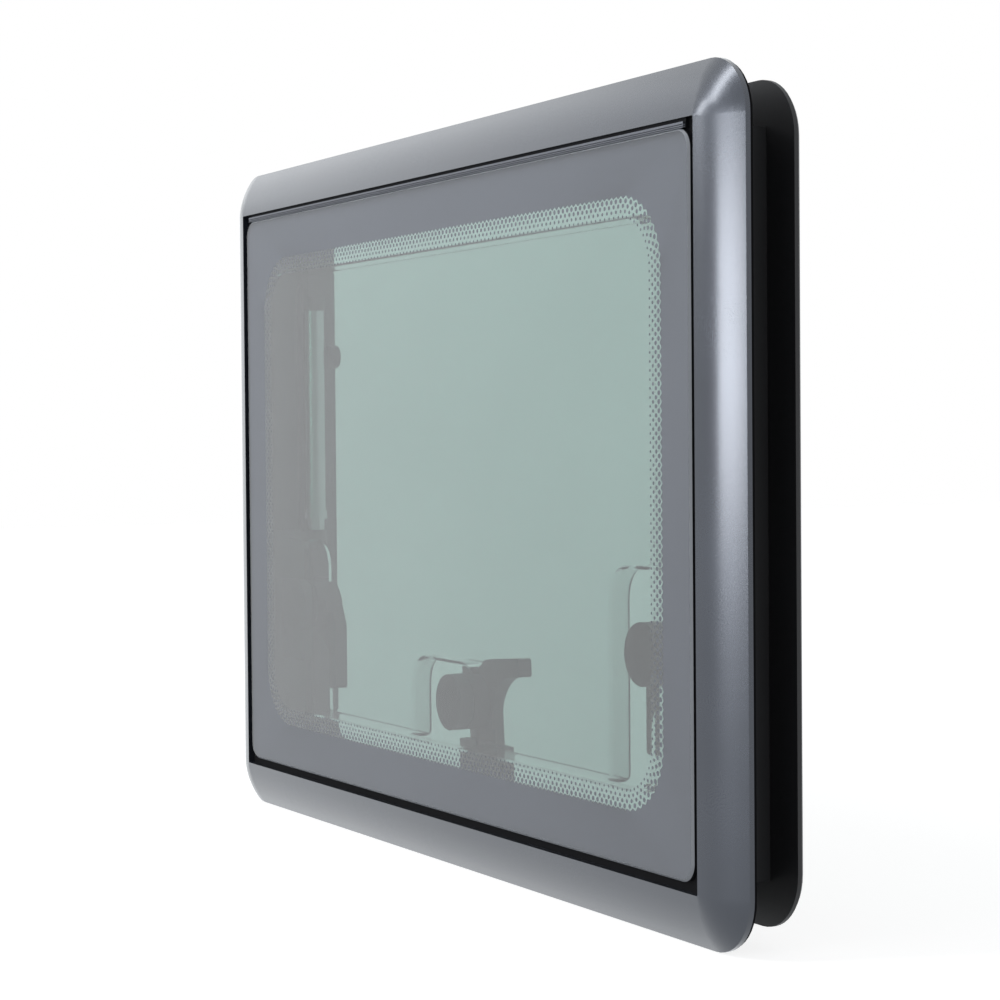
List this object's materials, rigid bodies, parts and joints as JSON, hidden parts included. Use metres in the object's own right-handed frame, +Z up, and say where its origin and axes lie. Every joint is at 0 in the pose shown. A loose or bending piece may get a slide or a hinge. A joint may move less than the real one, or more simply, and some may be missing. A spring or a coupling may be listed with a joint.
{
  "type": "caravan window",
  "caption": "Top-hung caravan window: curved metallic outer frame, printed-border double pane, lever latches, telescopic stays and a black inner trim that clamps the wall.",
  "frame": {"origin": "middle of the wall cut-out, on the wall's outer skin, where the flange's rubber strip meets it", "axes": "X right seen from outside, Y into the room, Z up"},
  "size_m": [0.66, 0.069, 0.46],
  "materials": {
    "frame_paint": "satin metallic blue-grey paint",
    "rubber": "black extruded rubber",
    "glass": "clear pale green sheet with a printed black border",
    "clear_acrylic": "clear vacuum-formed acrylic",
    "hinge_metal": "dark anodised extrusion",
    "black_plastic": "fine-textured black moulding",
    "stay_metal": "bright drawn tube",
    "trim_plastic": "fine-textured black moulding",
    "liner_coat": "black powder coat"
  },
  "bodies": {
    "window": {"outer_frame": "frame_paint", "wall_gasket": "rubber", "opening_seal": "rubber", "outer_pane": "glass", "inner_pane": "clear_acrylic", "hinge_leaf": "hinge_metal", "hinge_rail": "liner_coat", "latch_base_bottom": "black_plastic", "latch_catch_bottom": "black_plastic", "latch_base_left": "black_plastic", "latch_catch_left": "black_plastic", "latch_base_right": "black_plastic", "latch_catch_right": "black_plastic", "stay_bracket_left": "black_plastic", "stay_tube_left": "stay_metal", "stay_rod_left": "stay_metal", "stay_foot_left": "black_plastic", "stay_bracket_right": "black_plastic", "stay_tube_right": "stay_metal", "stay_rod_right": "stay_metal", "stay_foot_right": "black_plastic", "inner_trim": "trim_plastic", "liner_top": "liner_coat", "liner_bottom": "liner_coat", "liner_left": "liner_coat", "liner_right": "liner_coat", "trim_stud_left": "black_plastic", "trim_stud_right": "black_plastic"},
    "bottom_latch": {"latch_lever_bottom": "black_plastic", "latch_button_bottom": "black_plastic"},
    "left_latch": {"latch_lever_left": "black_plastic", "latch_button_left": "black_plastic"},
    "right_latch": {"latch_lever_right": "black_plastic", "latch_button_right": "black_plastic"}
  },
  "joints": [
    {"name": "bottom_latch_turn", "type": "hinge", "parent": "window", "child": "bottom_latch", "pos_m": [0.0045, 0.0145, -0.128], "axis": [0, -1, 0], "range_deg": [0, 85]},
    {"name": "left_latch_turn", "type": "hinge", "parent": "window", "child": "left_latch", "pos_m": [-0.2317, 0.0145, -0.08112], "axis": [0, -1, 0], "range_deg": [0, 90]},
    {"name": "right_latch_turn", "type": "hinge", "parent": "window", "child": "right_latch", "pos_m": [0.2317, 0.0145, -0.08112], "axis": [0, 1, 0], "range_deg": [0, 90]}
  ]
}
